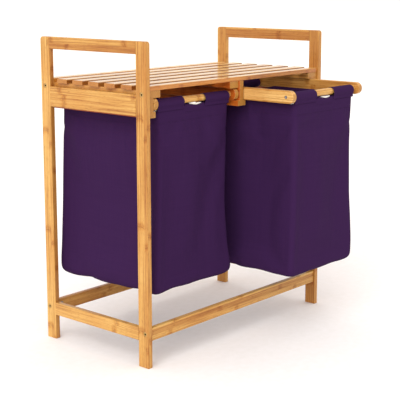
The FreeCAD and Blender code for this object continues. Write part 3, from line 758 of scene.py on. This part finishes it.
def makeTurnedHem(side, ringAt):
    # the cloth is turned in at the top, so that the lining starts below a band of the same purple
    points, faces, cuts = [], [], []
    around = len(ringAt[0])
    for r, ring in enumerate(ringAt):
        inward, up = turnedHem["inward"], 0.0
        if r == 0:
            inward, up = turnedHem["topInward"], turnedHem["topUp"]
        for i, (at, normal) in enumerate(ring):
            points.append(at - normal * inward + Vector((0, 0, up)))
            cuts.append((i * bagSize["cell"], -r * bagSize["cell"]))
    for r in range(3):
        for i in range(around):
            j = (i + 1) % around
            a, b = r * around, (r + 1) * around
            faces.append((a + i, b + i, b + j, a + j))
    hem = meshObject(side + "_bag_turned_hem", points, faces, cuts)
    hem.data.materials.append(materials["cloth"])
    thicken(hem, turnedHem["thick"], 0.0)
    return hem


handLining = {"behind": 0.0030, "ends": (-0.012, 0.027), "thick": 0.0006, "pucker": 0.0003}


def makeHandLining(side, seed):
    # white lining that shows behind the dip of each hand hole
    hem, low = bagSize["hem"], handLining["ends"][0]
    xs = spread(low, handLining["ends"][1], loopSize["step"])
    sheets = []
    for sign in (-1, 1):
        face = sign * (bagSize["depthAtTop"] - handLining["behind"])
        profile = [(face, hem - 0.003), (face, hem + 0.003), (face - sign * 0.0004, hem + 0.0088)]
        sheets.append(strip(profile, xs, handLining["pucker"], seed))
    lining = joined(side + "_bag_hand_lining", sheets)
    lining.data.materials.append(materials["lining"])
    thicken(lining, handLining["thick"])
    return lining


stitchSize = {
    "pitch": 0.0036,
    "length": 0.0026,
    "radius": 0.00035,
    "proud": 0.0003,         # the stitches stand this far off the cloth
    "taper": ((-0.5, 0.3), (-0.3, 1.0), (0.3, 1.0), (0.5, 0.3)),    # (share of length, of radius)
}


def stitches(path):
    # short sewn threads along a line of points, each a small five-sided capsule
    parts = []
    gone = 0.0
    for start, end in zip(path, path[1:]):
        run = end - start
        size = run.length
        if size < 1e-6:
            continue
        direction = run / size
        sideways = direction.orthogonal().normalized()
        third = direction.cross(sideways)
        at = (-gone) % stitchSize["pitch"]
        while at < size:
            middle = start + direction * at
            points, faces = [], []
            for along, wide in stitchSize["taper"]:
                for k in range(5):
                    angle = math.tau * k / 5
                    offset = sideways * math.cos(angle) + third * math.sin(angle)
                    offset = offset * stitchSize["radius"] * wide
                    points.append(middle + direction * along * stitchSize["length"] + offset)
            for row in range(3):
                for k in range(5):
                    a, b = row * 5 + k, row * 5 + (k + 1) % 5
                    faces.append((a, b, b + 5, a + 5))
            faces += [(4, 3, 2, 1, 0), (15, 16, 17, 18, 19)]
            parts.append((points, faces, [(p.x + p.y, p.z) for p in points]))
            at += stitchSize["pitch"]
        gone += size
    return parts


def makeStitching(side, ringAt, across, deep):
    # rows of stitching under the loops, along the side hems and across the panels
    hole, reach, hem = bagSize["handHole"] / 2, loopSize["reach"], bagSize["hem"]
    sewn = []
    for sign in (-1, 1):
        y = sign * (bagSize["depthAtTop"] + 0.0016)
        for x0, x1 in ((-reach + 0.001, -hole), (hole, reach - 0.001)):
            sewn += stitches([Vector((x0, y, hem)), Vector((x1, y, hem))])
    proud = [[at + normal * stitchSize["proud"] for at, normal in ring] for ring in ringAt]
    for r in (1, 3):
        for first in (across, 2 * across + deep):
            sewn += stitches(proud[r][first + 1:first + deep])
    for r in (1, 3):
        for first in (0, across + deep):
            row = proud[r][first:first + across]
            # the upper row only shows below the hand holes
            sewn += stitches([p for p in row if abs(p.x) < hole + 0.004] if r == 1 else row)
    stitching = joined(side + "_bag_stitching", sewn)
    stitching.data.materials.append(materials["stitch"])
    return stitching


# cut as one cross: a strip for front, bottom and rear, with the two sides sewn in
flatCloth = {"high": 0.41, "wide": 0.25, "deep": 0.311}


def makeBag(side, shape, seed):
    body = side + "_carrier"
    low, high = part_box(body + "_front_dowel")
    rearLow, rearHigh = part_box(body + "_rear_dowel")
    middleX = (low.x + high.x) / 2
    middleY = (low.y + high.y + rearLow.y + rearHigh.y) / 4

    points, faces, cuts, counts, rings = restShape(shape, seed)
    bag = meshObject(side + "_bag", points, faces, cuts)
    hang(bag, counts, rings)
    # the second pair of slots is purple on both sides, for the part that is turned in
    for name in ("cloth", "lining", "cloth", "cloth"):
        bag.data.materials.append(materials[name])
    turned = {i for ring in rings[:3] for i in ring}
    for polygon in bag.data.polygons:
        polygon.material_index = 2 if turned.intersection(polygon.vertices) else 0
    vertices = bag.data.vertices
    ringAt = [[(vertices[i].co.copy(), vertices[i].normal.copy()) for i in ring]
              for ring in rings[:4]]
    shell = thicken(bag, bagSize["clothThick"])
    shell.use_even_offset = False
    shell.material_offset = 1
    shell.material_offset_rim = 0
    soften(bag)

    pieces = makeLoops(side, body, seed)
    pieces.append(makeTurnedHem(side, ringAt))
    lining = makeHandLining(side, seed)
    pieces.append(lining)
    pieces.append(makeStitching(side, ringAt, counts[0], counts[1]))
    for piece in [bag] + pieces:
        piece.data.transform(Matrix.Translation((middleX, middleY, 0)))
        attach(piece, body)
    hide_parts(*[body + "_bag_" + name for name in
                       ("front_panel", "rear_panel", "inner_side", "outer_side", "bottom")])
    high, wide, deep = flatCloth["high"], flatCloth["wide"], flatCloth["deep"]
    print(side, "bag made at", round(middleX, 4), round(middleY, 4))


makeBag("left", leftBagShape, 3.1)
makeBag("right", rightBagShape, 11.7)


studio = {
    "floor": ("#f7f6f4", "#fbfaf9"),
    "tent": (1.10, 1.03, 1.0, 1.0),    # slightly warm light from the white tent round the object
    "keyPower": 1.75,        # soft light from the left, watts per square metre
    "keyFrom": (-0.78, -0.36, 0.52),
    "keySoftness": 50.0,     # degrees
}


def makeFloor():
    # Matt seamless paper: plain, pale, with a barely visible grain.
    material, tree = newMaterial("white backdrop paper")
    place = addNode(tree, "TexCoord")
    grain = addNode(tree, "TexNoise", {"Vector": (place, "Object"), "Scale": 60.0, "Detail": 2.0})
    tone = addNode(tree, "ValToRGB", {"Fac": grain}, list(zip((0.3, 0.7), studio["floor"])))
    shader = addNode(tree, "BsdfPrincipled", {"Base Color": tone, "Roughness": 0.9})
    addNode(tree, "OutputMaterial", {"Surface": shader})
    reach = 30.0
    outline = ((-reach, -reach), (reach, -reach), (reach, reach), (-reach, reach))
    corners = [Vector((x, y, -0.0005)) for x, y in outline]
    floor = meshObject("floor", corners, [(0, 1, 2, 3)])
    floor.data.materials.append(material)


def makeWorld():
    world = bpy.data.worlds.new("studio")
    bpy.context.scene.world = world
    world.use_nodes = True
    tree = world.node_tree
    tree.nodes.clear()
    sky = addNode(tree, "Background", {"Color": studio["tent"], "Strength": 1.0})
    addNode(tree, "OutputWorld", {"Surface": sky})


def keyLight():
    lamp = bpy.data.lights.new("key", "SUN")
    lamp.energy = studio["keyPower"]
    lamp.angle = math.radians(studio["keySoftness"])
    obj = bpy.data.objects.new("key", lamp)
    bpy.context.scene.collection.objects.link(obj)
    obj.rotation_mode = "QUATERNION"
    obj.rotation_quaternion = Vector(studio["keyFrom"]).to_track_quat("Z", "Y")


cameraSettings = {
    "place": (-1.9085, -1.7099, 0.8451),
    "turn": 48.775,      # degrees from +Y towards +X
    "down": 9.744,
    "roll": 0.084,
    "lens": 95.28,
    "shiftUp": -0.10,
}


def makeCamera():
    camera = bpy.data.cameras.new("camera")
    camera.sensor_width = 36.0
    camera.lens = cameraSettings["lens"]
    camera.shift_y = cameraSettings["shiftUp"]
    camera.clip_start = 0.05
    camera.clip_end = 100.0
    obj = bpy.data.objects.new("camera", camera)
    bpy.context.scene.collection.objects.link(obj)
    turn, down = math.radians(cameraSettings["turn"]), math.radians(cameraSettings["down"])
    levelShare = math.cos(down)
    ahead = Vector((math.sin(turn) * levelShare, math.cos(turn) * levelShare, -math.sin(down)))
    obj.location = cameraSettings["place"]
    obj.rotation_mode = "QUATERNION"
    roll = Quaternion(ahead, math.radians(cameraSettings["roll"]))
    obj.rotation_quaternion = roll @ ahead.to_track_quat("-Z", "Y")
    bpy.context.scene.camera = obj


makeFloor()
makeWorld()
keyLight()
makeCamera()
bpy.context.scene.view_settings.view_transform = "Standard"
print("studio ready")
